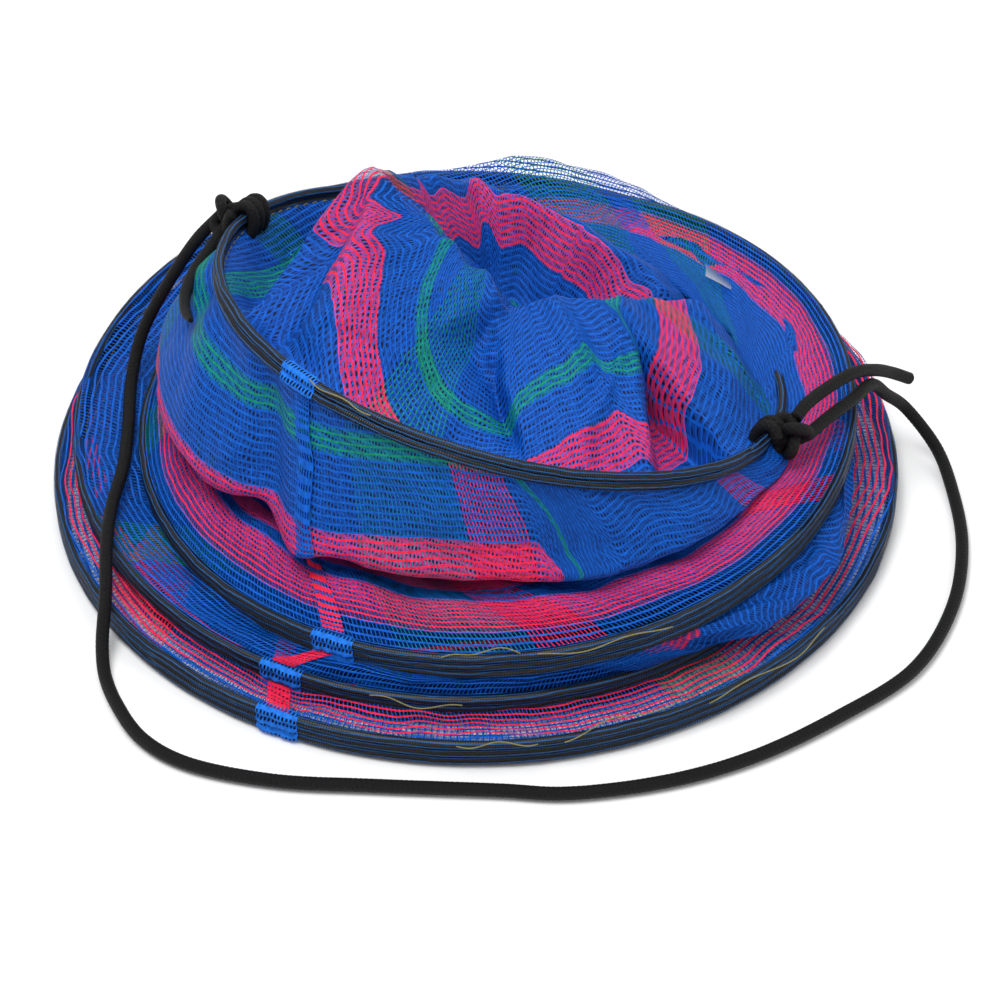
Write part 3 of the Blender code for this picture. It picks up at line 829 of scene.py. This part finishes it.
class Wall:
    """A net wall between two hoops.

    Profile rows are (inward share, height share, out mm, up mm). Bumps are (angle, spread, row,
    out mm, up mm), in degrees. Pleats are (deep mm, fine mm). The layers behind, painted darker as
    shade, are given as (the share of the height where they begin, how far they fill the gaps, how
    much less at the right). Twist is how far round its upper edge has slipped, in degrees.
    """

    def __init__(self, name, lower, upper, profile, bumps, pleats, seed, lining, twist=0):
        self.name, self.lower, self.upper = name, hoops[lower], hoops[upper]
        self.profile, self.bumps, self.pleats, self.seed = profile, bumps, pleats, seed
        self.lining, self.twist = lining, math.radians(twist)

    def at(self, u, v):
        angle = 2 * math.pi * u
        radial = np.stack([np.cos(angle), np.sin(angle), 0 * angle], axis=1)
        start, end = self.lower.point(angle), self.upper.point(angle + self.twist)
        rows = []
        for number, (inward, raised, outward, upward) in enumerate(self.profile):
            out_mm, up_mm = np.full_like(angle, outward), np.full_like(angle, upward)
            for middle, spread, row, push_out, push_up in self.bumps:
                if row == number:
                    weight = near_angle(angle, middle, spread)
                    out_mm, up_mm = out_mm + push_out * weight, up_mm + push_up * weight
            row_points = start + (end - start) * inward + radial * (out_mm * MM)[:, None]
            row_points[:, 2] = start[:, 2] + (end[:, 2] - start[:, 2]) * raised + up_mm * MM
            rows.append(row_points)
        points = through(np.array(rows), v)
        held = np.clip(np.minimum(v, 1 - v) * HELD_REACH, 0, 1) ** HELD_POWER
        deep, fine = self.pleats
        folds = deep * ripple(angle, 5 * v, self.seed, 7, 24)
        folds = folds + fine * ripple(angle, 9 * v, self.seed + 1, 30, 60)
        sway = deep * ripple(angle, 4 * v, self.seed + 2, 6, 20)
        points[:, 2] += folds * held * MM
        points += radial * (sway * held * MM)[:, None]
        points = crumple(points, held)
        points[:, 2] = np.maximum(points[:, 2], LOWEST)
        return points


# %% [markdown]
# The cloth map must hold real lengths, or the mesh would be squeezed where the net doubles back.
# So each point's place along the cloth is the distance walked to it over the folds. A coloured
# stripe keeps to its yarns, and where a stripe's run is given, it is led along a path.

# %% Following the yarns
PATH_ROUNDING = 9


def walked_up(points, columns, rows, u, v):
    """How far along the cloth each point is from its column's start, and how long its column is."""
    order = np.lexsort((v.round(5), u.round(5)))
    stack = points[order].reshape(columns + 1, rows + 1, 3)
    steps = np.linalg.norm(np.diff(stack, axis=1), axis=2)
    walked = np.concatenate([np.zeros((columns + 1, 1)), np.cumsum(steps, axis=1)], axis=1)
    rise, length = np.empty((2, len(points)))
    rise[order] = walked.ravel()
    length[order] = np.repeat(walked[:, -1], rows + 1)
    return rise, length


def led_path(degrees, path):
    """The value of a path of (degrees, value) pairs, rounded over its corners."""
    offsets = np.linspace(-PATH_ROUNDING, PATH_ROUNDING, 7)
    return sum(np.interp((degrees + offset) % 360, *zip(*path)) for offset in offsets) / len(offsets)


def add_lining(piece, amount):
    """Marks how far the painted shaded layers behind fill the gaps, one number from 0 to 1 for each point.
    """
    lining = piece.data.attributes.new("lining", "FLOAT", "POINT")
    lining.data.foreach_set("value", np.broadcast_to(amount, len(piece.data.vertices)).astype(np.float32))


def surface_area(piece):
    """The piece's area in square metres."""
    return sum(polygon.area for polygon in piece.data.polygons)


def height_shares(piece):
    """How high up the cloth each point is, from 0 to 1, read back from the grid's corners."""
    shares = np.zeros(len(piece.data.vertices))
    for loop, share in zip(piece.data.loops, piece.data.attributes["share"].data):
        shares[loop.vertex_index] = share.value
    return shares


# %% [markdown]
# When a hoop lifts, its wall must stretch from the hoop below. A blend by height in space would
# tear the hidden folds, which lie lower than the cloth that leads to them. So the points are laid
# out by their share of the cloth while the piece's transform is baked, and then the folded shape is put
# back.

# %% Making a wall
COLUMNS, WALL_ROWS = 640, 90
STRIPE_EASE = 14  # degrees over which a led stripe returns to its own yarns
LED_FROM, LED_OVER = 40 * MM, 60 * MM
SHADED_LAYERS_EASE = 8
THIN_MIDDLE, THIN_SPREAD = 15, 50


def stretch_between(piece, shares):
    """Lays a wall out by how high up the cloth each point is, bakes its transform, and puts its folded
    shape back.
    """
    mesh = piece.data
    shape = np.empty(len(mesh.vertices) * 3, np.float32)
    mesh.vertices.foreach_get("co", shape)
    laid = np.zeros((len(mesh.vertices), 3), np.float32)
    laid[:, 2] = shares
    mesh.vertices.foreach_set("co", laid.ravel())
    mesh.update()
    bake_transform(piece)
    mesh.vertices.foreach_set("co", shape)
    mesh.update()


def fill_shaded_layers(wall, piece, shares):
    """Fills a wall's gaps with the painted shaded layers behind, above its first fold and less at the
    right.
    """
    start, amount, thinned = wall.lining
    spots = np.empty(len(piece.data.vertices) * 3)
    piece.data.vertices.foreach_get("co", spots)
    turned = np.arctan2(spots[1::3] - wall.lower.centre[1], spots[::3] - wall.lower.centre[0])
    thinner = 1 - thinned * near_angle(turned, THIN_MIDDLE, THIN_SPREAD)
    add_lining(piece, eased((shares - start) * SHADED_LAYERS_EASE) * amount * thinner)


def net_wall(wall, replaced, finish, cut_height, band, middle):
    """A wall of net whose stripe runs middle mm, plus its led path, below the upper hoop."""
    around = math.pi * (wall.lower.radius + wall.upper.radius)

    def place(u, v):
        points = wall.at(u, v)
        walked, length = walked_up(points, COLUMNS, WALL_ROWS, u, v)
        pulled = (middle + led_path(360 * u, band)) * MM - length
        led = eased(np.minimum(360 * u - band[0][0], band[-1][0] - 360 * u) / STRIPE_EASE)
        return points, u * around, walked + led * pulled * eased((walked - LED_FROM) / LED_OVER)

    piece = bent_grid(wall.name, COLUMNS, WALL_ROWS, place)
    piece.data.materials.append(finish)
    shares = height_shares(piece)
    fill_shaded_layers(wall, piece, shares)
    stretch_between(piece, shares)
    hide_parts(replaced)
    print(wall.name, "area share", round(surface_area(piece) / (around * cut_height), 2))
    return piece


# %% [markdown]
# The numbers below are the folds themselves. The upper wall makes the shelf and the belly under
# the mouth hoop; the other two mostly hide between their hoops and show at their edges.

# %% Three walls
CUT_HEIGHT = 0.20

upper_wall = Wall(
    "upper_wall", "second", "mouth",
    ((0, 0, -1, 7), (0.45, 0.1, 0, 4), (2.1, -0.05, 0, 4), (2.8, -0.1, 0, 4), (0.85, 0.2, 0, 2),
     (0.72, 0.45, 0, 0), (0.92, 0.8, 0, 0), (1, 1, -1, -5)),
    ((190, 38, 4, 18, 0), (190, 38, 5, 22, 0), (185, 32, 6, 10, 4), (50, 30, 5, 10, 8),
     (233, 5, 5, -9, 2), (234, 5, 6, -9, 0), (233, 6, 4, -5, 0), (243, 6, 4, 8, -3), (245, 6, 5, 7, -6),
     (262, 10, 4, 5, -2), (288, 8, 5, -5, 3), (300, 9, 4, 6, -2), (315, 10, 5, 5, 2), (335, 9, 6, -5, 2),
     (212, 7, 5, 4, 3), (200, 6, 6, -4, -3)),
    (1.8, 0.3), 5, (0.05, 1.0, 0.0), -20,
)
middle_wall = Wall(
    "middle_wall", "third", "second",
    ((0, 0, -1, 7), (0.6, 0.7, 0, 1), (3.5, 0.5, 0, -2), (5.8, 0.55, 0, 0), (3.5, 0.9, 0, -4),
     (1, 1, -1, -7)),
    ((78, 20, 1, 5, 12), (78, 17, 2, 6, 12), (176, 30, 1, 10, 3)),
    (1.8, 0.3), 15, (0.3, 0.8, 0.3),
)
lower_wall = Wall(
    "lower_wall", "base", "third",
    ((0, 0, -1, 7), (0.55, 0.6, 0, 1), (3.8, 0.5, 0, -2), (6.6, 0.5, 0, 0), (3.8, 0.9, 0, -4),
     (1, 1, -1, -7)),
    ((60, 24, 1, 2, 10), (0, 20, 1, 4, 5)),
    (1.4, 0.25), 25, (0.35, 0.6, 0.8),
)

# %% [markdown]
# Each wall has its own stripes: rows and columns are (start, end, colour), as shares of the cloth.
# The upper wall's red row shows all along the belly, so its path says how many millimetres below
# the mouth hoop it runs at each angle. The others follow their yarns.

# %% Stripes of the walls
upper_net = net_material(
    "upper_nylon_net", 0.25, 0.95,
    [(0.04, 0.15, RED), (0.55, 0.655, RED), (0.8, 0.85, GREEN)],
    [(0.14, 0.18, GREEN), (0.50, 0.53, GREEN), (0.708, 0.766, TEAL), (0.768, 0.798, RED),
     (0.92, 0.94, RED)],
)
middle_net = net_material(
    "middle_nylon_net", 0.2, 1.1,
    [(0.5, 0.6, RED), (0.9, 1.0, GREEN)],
    [(0.57, 0.60, GREEN), (0.2, 0.24, GREEN)],
)
lower_net = net_material(
    "lower_nylon_net", 0.2, 1.2, [(0.02, 0.16, RED)], [(0.59, 0.63, RED), (0.83, 0.86, GREEN)],
)
UPPER_BAND = (  # degrees, and mm further below the mouth hoop
    (152, 52), (165, 58), (180, 72), (195, 76), (210, 79), (222, 82), (232, 77), (243, 78), (255, 71),
    (270, 58), (285, 51), (302, 46),
)
FLAT_BAND = ((0, 0), (1, 0))
net_wall(upper_wall, "upper_section_net", upper_net, CUT_HEIGHT, UPPER_BAND, 150)
net_wall(middle_wall, "middle_section_net", middle_net, CUT_HEIGHT, FLAT_BAND, 200)
net_wall(lower_wall, "lower_section_net", lower_net, CUT_HEIGHT, FLAT_BAND, 200)


# %% [markdown]
# Each wall's two ends are lapped and sewn, which leaves a doubled strip up the side. It is bent by
# the same function as its wall, a little above it, so it follows every fold and every lift.

# %% Side seams
SEAM_ANGLE = math.radians(245)
SEAM_WIDTH = 11 * MM
SEAM_COLUMNS, SEAM_ROWS = 8, 120
SEAM_SLOPE = 0.9  # how much of the strip's lift off the wall is upward
SEAM_LIFT, SEAM_ROUND, SEAM_PUCKER = 0.9, 0.5, 0.2  # mm
PUCKERS = 200


def side_seam(wall, replaced, finish):
    """A doubled strip of net up one wall."""
    def place(u, v):
        wide = (u - 0.5) * SEAM_WIDTH / wall.lower.radius
        angle = SEAM_ANGLE + wide
        points = wall.at(angle / (2 * math.pi), 0.01 + 0.98 * v)
        away = np.stack([np.cos(angle), np.sin(angle), SEAM_SLOPE + 0 * angle], axis=1)
        puff = SEAM_LIFT + SEAM_ROUND * np.sin(math.pi * u) + SEAM_PUCKER * np.sin(PUCKERS * v)
        return points + away * (puff * MM)[:, None], u * SEAM_WIDTH, v * CUT_HEIGHT

    piece = bent_grid(f"{wall.name}_seam", SEAM_COLUMNS, SEAM_ROWS, place, weld=False)
    piece.data.materials.append(finish)
    stretch_between(piece, height_shares(piece))
    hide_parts(replaced)
    print(piece.name, round(surface_area(piece) / SEAM_WIDTH, 3), "m along the folds")
    return piece


# Doubled nylon net: two layers fill each other's gaps, so the yarns look wide and the blue paler.
doubled_net = net_material("doubled_nylon_net", 0.2, 0.5, [], [], thick=1.9, fine=0.9, ground="#1b74e0")
# The same doubling in red yarn, which draws a bright line between the dark hems.
red_doubled_net = net_material("red_doubled_nylon_net", 0.2, 0.5, [], [], thick=2.2, fine=0.9, ground=RED)
# Blue with one red end, to match the stripe that the upper seam crosses.
gathered_net = net_material("gathered_nylon_net", 0.2, 0.5, [(0.0, 0.16, RED)], [], thick=1.9, fine=0.9)
side_seam(upper_wall, "upper_side_seam", gathered_net)
side_seam(middle_wall, "middle_side_seam", red_doubled_net)
side_seam(lower_wall, "lower_side_seam", red_doubled_net)

# %% [markdown]
# ## Throat
# The throat is a second net, sewn to the mouth hoop and stuffed down inside it. It stands in a
# few stiff ridges with deep valleys between. Each ridge is two widths, for the fall on its left
# and on its right, and a line of (x, y, height above the hoop's plane) in millimetres. The cloth
# drops away from whichever ridge is nearest. Its red row is led round by a path in from the hem.

# %% The throat's ridges
THROAT_RIDGES = (
    (28, 75, ((-64, -96, -4), (-60, -60, 24), (-52, -15, 44), (-46, 33, 56))),
    (20, 85, ((-46, 33, 56), (-20, 10, 44), (7, -13, 30), (12, -34, 8))),
    (20, 95, ((16, -12, 18), (40, -10, 30), (67, -7, 34), (100, 18, 29), (112, 30, 12))),
    (44, 24, ((-46, 33, 56), (-30, 60, 44), (2, 92, 34), (60, 74, 29), (90, 50, 18))),
    (16, 16, ((67, -7, 34), (64, -45, 20), (50, -85, 2))),
)
TIP_WIDTH = 24
THROAT_FLOOR = -18  # mm above the mouth hoop's plane
VALLEY = (14, 34)  # where all columns meet, x and y in mm
TIP_REACH = 12
SIDE_BLEND = 0.6
CREST_ROUNDING, CREST_DROP = 0.012, 0.11
DEEPEST = -90.0
BAND_PATH = (  # degrees, and mm in from the hem
    (0, 74), (30, 75), (45, 77), (75, 75), (90, 77), (105, 88), (120, 101), (135, 110), (150, 118),
    (165, 119), (180, 112), (195, 86), (210, 72), (225, 52), (236, 8), (262, 8), (285, 34), (300, 40),
    (315, 48), (330, 50), (345, 62), (360, 74),
)


def ridge_height(x, y, left_width, right_width, line):
    """The height of a tent whose ridge pole is the line, steeper on one side, in millimetres."""
    best = np.full_like(x, DEEPEST)
    for (ax, ay, ah), (bx, by, bh) in zip(line, line[1:]):
        dx, dy = bx - ax, by - ay
        along = ((x - ax) * dx + (y - ay) * dy) / (dx * dx + dy * dy)
        share = np.clip(along, 0, 1)
        beyond = np.abs(along - share) * math.hypot(dx, dy)
        away = np.hypot(x - ax - share * dx, y - ay - share * dy)
        side = (dx * (y - ay) - dy * (x - ax)) / np.maximum(away, 1) / math.hypot(dx, dy)
        width = right_width + (left_width - right_width) * eased((side + SIDE_BLEND) / (2 * SIDE_BLEND))
        width = width + (np.minimum(width, TIP_WIDTH) - width) * eased(beyond / TIP_REACH)
        tall = ah + (bh - ah) * share - THROAT_FLOOR
        fall = np.sqrt((away / width) ** 2 + CREST_ROUNDING) - CREST_DROP
        best = np.maximum(best, tall * (1 - fall) + THROAT_FLOOR)
    return best


# %% [markdown]
# The ridges meet in soft saddles, because a smooth maximum joins them. Near the rim the cloth is
# held level by the hem, and it is free to stand up only a little way in.

# %% The throat's shape
BLEND_SHARPNESS = 0.35
RIM_HOLD, PLEAT_FROM = 22, 15  # mm in from the rim
RIM_DROP = 3 * MM
CREASE = 3


def throat_points(u, v):
    """Points of the throat's cloth, from the hem at v = 0 to its middle at v = 1."""
    hoop = hoops["mouth"]
    angle = 2 * math.pi * u
    rim = hoop.point(angle, -ROD_RADIUS, -RIM_DROP)
    valley = np.array([VALLEY[0] * MM, VALLEY[1] * MM, 0])
    points = rim + (valley - rim) * v[:, None]
    level = hoop.centre[2] - (points[:, :2] - hoop.centre[:2]) @ hoop.normal[:2] / hoop.normal[2]
    x, y = points[:, 0] / MM, points[:, 1] / MM
    crease = ripple(angle, 3 * v, 41, 5, 14) * CREASE * np.sin(math.pi * v)
    heights = [ridge_height(x + crease, y + crease, *ridge) for ridge in THROAT_RIDGES]
    lifted = sum(np.exp(BLEND_SHARPNESS * (height - THROAT_FLOOR)) for height in heights)
    top = np.log(lifted + 1) / BLEND_SHARPNESS + THROAT_FLOOR
    off_rim = np.hypot(*(points[:, :2] - rim[:, :2]).T) / MM
    held = eased(off_rim / RIM_HOLD)
    pleat = 1.5 * ripple(angle, 4 * v, 51, 7, 20) + 0.25 * ripple(angle, 9 * v, 52, 30, 60)
    pleated = top + pleat * np.minimum(1, off_rim / PLEAT_FROM)
    points[:, 2] = level + (held * pleated - 2 * (1 - held)) * MM
    return crumple(points, held * np.clip((1 - v) * 5, 0, 1))


# %% [markdown]
# At its peak and in one bowl the real throat is a single layer that the light comes through, so
# the layers behind are thinned there.

# %% Throat
THROAT_ROWS = 130
THROAT_RADIUS = 0.095
BAND_MIDDLE = 100 * MM
SPLAY, SPLAY_MIDDLE, SPLAY_SPREAD = 0.3, 208, 32  # the red row widens here, in degrees
PEAK, BOWL = (-46 * MM, 33 * MM, 20 * MM), (-78 * MM, 68 * MM, 26 * MM)  # x, y, reach


def throat_net(finish):
    """The throat's cloth, riding on the mouth hoop."""
    around = 2 * math.pi * THROAT_RADIUS

    def place(u, v):
        points = throat_points(u, v)
        away = walked_up(points, COLUMNS, THROAT_ROWS, u, v)[0] - led_path(360 * u, BAND_PATH) * MM
        splayed = 1 - SPLAY * near_angle(2 * math.pi * u, SPLAY_MIDDLE, SPLAY_SPREAD)
        return points, u * around, BAND_MIDDLE + away * splayed

    piece = bent_grid("throat_gather", COLUMNS, THROAT_ROWS, place, flip=True)
    piece.data.materials.append(finish)
    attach(piece, "mouth_hoop")
    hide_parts("throat_net")
    points = np.array([vertex.co for vertex in piece.data.vertices])
    peak, bowl = (np.hypot(points[:, 0] - x, points[:, 1] - y) / reach for x, y, reach in (PEAK, BOWL))
    # The painted shaded layers behind are thinned at the peak and in the bowl.
    add_lining(piece, 1 - 0.85 * np.exp(-peak**2) - 0.5 * np.exp(-bowl**2))
    return piece


throat_cloth = net_material(
    "throat_nylon_net", 0.2, 2 * math.pi * THROAT_RADIUS,
    [(0.05, 0.14, GREEN), (0.435, 0.565, RED), (0.7, 0.76, GREEN)],
    [(0.40, 0.44, GREEN), (0.66, 0.70, GREEN), (0.96, 0.99, GREEN)],
)
throat_net(throat_cloth)

# %% [markdown]
# ## Floor of the trap
# The trap's own floor is one more disc of net, sewn to the base hoop and lying on the table. It is
# a grid wound round on itself, from the hem to the middle, with a few low waves.

# %% Base net
FLOOR_COLUMNS, FLOOR_ROWS = 240, 40
FLOOR_HEIGHT = 1.6 * MM
FLOOR_WAVE = 0.48
FLOOR_MAP = 0.6  # the map's mean radius, as a share of the hoop's


def base_floor(finish):
    """The disc of net in the base hoop."""
    hoop = hoops["base"]

    def place(u, v):
        angle = 2 * math.pi * u
        points = hoop.point(angle, -(hoop.radius * v) - ROD_RADIUS * (1 - v))
        wave = FLOOR_WAVE * ripple(angle, 6 * v, 71, 4, 18) * np.sin(math.pi * v)
        points[:, 2] = FLOOR_HEIGHT + wave * MM
        return points, angle * hoop.radius * FLOOR_MAP, hoop.radius * v

    piece = bent_grid("base_floor_net", FLOOR_COLUMNS, FLOOR_ROWS, place)
    piece.data.materials.append(finish)
    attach(piece, "base_hoop")
    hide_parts("base_net")
    print(piece.name, round(2 * hoop.radius, 3), "m across")
    return piece


base_floor(net_material("floor_nylon_net", 0.2, 0.75, [], [(0.3, 0.36, GREEN)]))

# %% [markdown]
# ## Seam patches, stitches and label
# Where a hem's two ends lap, they are doubled over and sewn down, which makes a puffy patch. The
# frame's own patch says where it sits, and the hem's section says how it wraps.

# %% Seam patches
PATCH_LONG = 20 * MM
PATCH_COLUMNS, PATCH_ROWS = 24, 60
PATCH_LOOSE, PATCH_PUFF, PATCH_TALL, PATCH_UNEVEN = 0.12, 0.34, 0.10, 0.4


def seam_patch(hoop, finish):
    """A lapped patch of doubled net round one hoop's hem."""
    low, high = (np.array(corner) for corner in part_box(f"{hoop.name}_seam_patch"))
    offset = (low + high) / 2 - hoop.centre
    middle = math.atan2(offset @ hoop.along, offset @ hoop.across)
    span = PATCH_LONG / hoop.radius

    def place(u, v):
        angle = middle + (u - 0.5) * span
        outward, upward, walked = sleeve_section(hoop, v)
        edge = np.minimum(np.minimum(u, 1 - u) * 9, 1)
        uneven = 1 + PATCH_UNEVEN * ripple(9 * u, 9 * v, 80 + hoop.turns, 1, 4)
        puff = 1 + (PATCH_LOOSE + PATCH_PUFF * edge) * uneven
        return hoop.point(angle, outward * puff, upward * (1 + PATCH_TALL * edge)), u * PATCH_LONG, walked

    piece = bent_grid(f"{hoop.name}_lapped_patch", PATCH_COLUMNS, PATCH_ROWS, place, flip=True)
    piece.data.materials.append(finish)
    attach(piece, f"{hoop.name}_hoop")
    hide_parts(f"{hoop.name}_seam_patch")
    print(piece.name, "at", round(math.degrees(middle) % 360), "degrees")
    return piece


for hoop in hoops.values():
    seam_patch(hoop, doubled_net)

# %% [markdown]
# The hem is closed with olive thread in short stitches. One thin tube zigzags round the hoop's
# inner side, where the sleeve's two edges meet.

# %% Hem stitches
THREAD_RADIUS, THREAD_SIDES = 0.3 * MM, 6
STITCHES = 130  # in one turn of the hoop
STITCH_POINTS = 1500
STITCH_START, STITCH_END = math.radians(250), math.radians(600)
STITCH_CLEAR, STITCH_DEEP, STITCH_HIGH = 0.4 * MM, 0.25 * MM, 0.8 * MM


def sewing_thread():
    """Spun polyester thread: matt and finely twisted."""
    made, tree, shader = new_material("spun_thread", 0.8)
    uv = node(tree, "ShaderNodeUVMap", uv_map="cloth").outputs[0]
    stretch = node(tree, "ShaderNodeMapping", uv, (0, 0, 0), (0, 0, 0), (900, 3, 1))
    twist = node(tree, "ShaderNodeTexNoise", stretch.outputs[0], None, 1.0, 2.0)
    tree.links.new(two_tone(tree, twist.outputs[0], "#4e4a2a", "#a39c66"), shader.inputs["Base Color"])
    return made


thread = sewing_thread()
for hoop in hoops.values():
    angle = np.linspace(STITCH_START, STITCH_END, STITCH_POINTS)
    stitch = np.cos(angle * STITCHES)
    inner = -ROD_RADIUS - HEM_SLACK - STITCH_CLEAR - STITCH_DEEP * stitch
    path = hoop.point(angle, inner, -(hoop.turns - 1) * TURN_PITCH / 2 + STITCH_HIGH * stitch)
    piece = tube(f"{hoop.name}_hem_stitches", path, THREAD_RADIUS, THREAD_SIDES, thread)
    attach(piece, f"{hoop.name}_hoop")
    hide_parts(f"{hoop.name}_hem_stitching")
    print(piece.name, len(piece.data.polygons), "faces")

# %% [markdown]
# Each run of stitches ends in a loose tail that was never trimmed. A tail starts at the top of a
# hem and wanders off beside it in one long bend and a small wave.

# %% Loose thread tails
TAIL_OUT, TAIL_UP = 3.4 * MM, 2.7 * MM
TAIL_BEND, TAIL_WAVE, TAIL_LIFT = 5 * MM, 1.5 * MM, 0.35
THREAD_TAILS = (  # hoop, start in degrees, length in metres, lift in mm, bend out or in
    ("base", 268, 0.034, 9, 0.4),
    ("base", 281, 0.052, 6, -1.0),
    ("base", 300, 0.070, 8, 0.6),
    ("third", 258, 0.040, 10, 1.2),
    ("second", 262, 0.034, 7, -0.7),
    ("second", 276, 0.058, 12, 0.9),
    ("mouth", 228, 0.033, 0, 0.2),
)
for number, (name, degrees, length, lift, bend) in enumerate(THREAD_TAILS):
    hoop = hoops[name]
    share = np.linspace(0, 1, 60)
    angle = math.radians(degrees) + share * length / hoop.radius
    outward = TAIL_OUT + bend * TAIL_BEND * np.sin(2.4 * share) + TAIL_WAVE * np.sin(9 * share + number)
    height = (hoop.turns - 1) * TURN_PITCH / 2 + TAIL_UP + lift * MM * TAIL_LIFT * np.sin(2.6 * share)
    path = hoop.point(angle, outward, height)
    piece = tube(f"thread_tail_{number}", path, THREAD_RADIUS, THREAD_SIDES, thread)
    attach(piece, f"{name}_hoop")
    length = float(np.linalg.norm(np.diff(path, axis=0), axis=1).sum())
    print(piece.name, round(length, 3), "m")

# %% [markdown]
# A small blank label of woven tape is sewn to the mouth hem on its far side. It stands across the
# frame's own label box and curls a little, as stiff tape does.

# %% Label
LABEL_WIDE, LABEL_TALL = 18 * MM, 11 * MM
LABEL_COLUMNS, LABEL_ROWS = 18, 12
LABEL_CURL = 1.6 * MM


def woven_tape():
    """Satin polyester tape: off-white with a fine crosswise weave."""
    made, tree, shader = new_material("satin_tape", 0.5)
    uv = node(tree, "ShaderNodeUVMap", uv_map="cloth").outputs[0]
    weave = node(tree, "ShaderNodeTexWave", uv, 1500.0, 0.6)
    tree.links.new(two_tone(tree, weave.outputs[1], "#d9dbdf", "#f6f6f4"), shader.inputs["Base Color"])
    return made


low, high = (np.array(corner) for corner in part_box("blank_label"))


def label_place(u, v):
    """Points of the standing label, from one corner of its box to the other."""
    base = np.stack([low[0] + (high[0] - low[0]) * u, high[1] + (low[1] - high[1]) * u], axis=1)
    curl = LABEL_CURL * np.sin(math.pi * v) * (0.4 + 0.6 * u)
    points = np.column_stack([base[:, 0] + curl, base[:, 1] + curl, low[2] + (high[2] - low[2]) * v])
    return points, u * LABEL_WIDE, v * LABEL_TALL


label = bent_grid("blank_tape_label", LABEL_COLUMNS, LABEL_ROWS, label_place, weld=False)
label.data.materials.append(woven_tape())
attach(label, "mouth_hoop")
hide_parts("blank_label")
print(label.name, len(label.data.polygons), "faces")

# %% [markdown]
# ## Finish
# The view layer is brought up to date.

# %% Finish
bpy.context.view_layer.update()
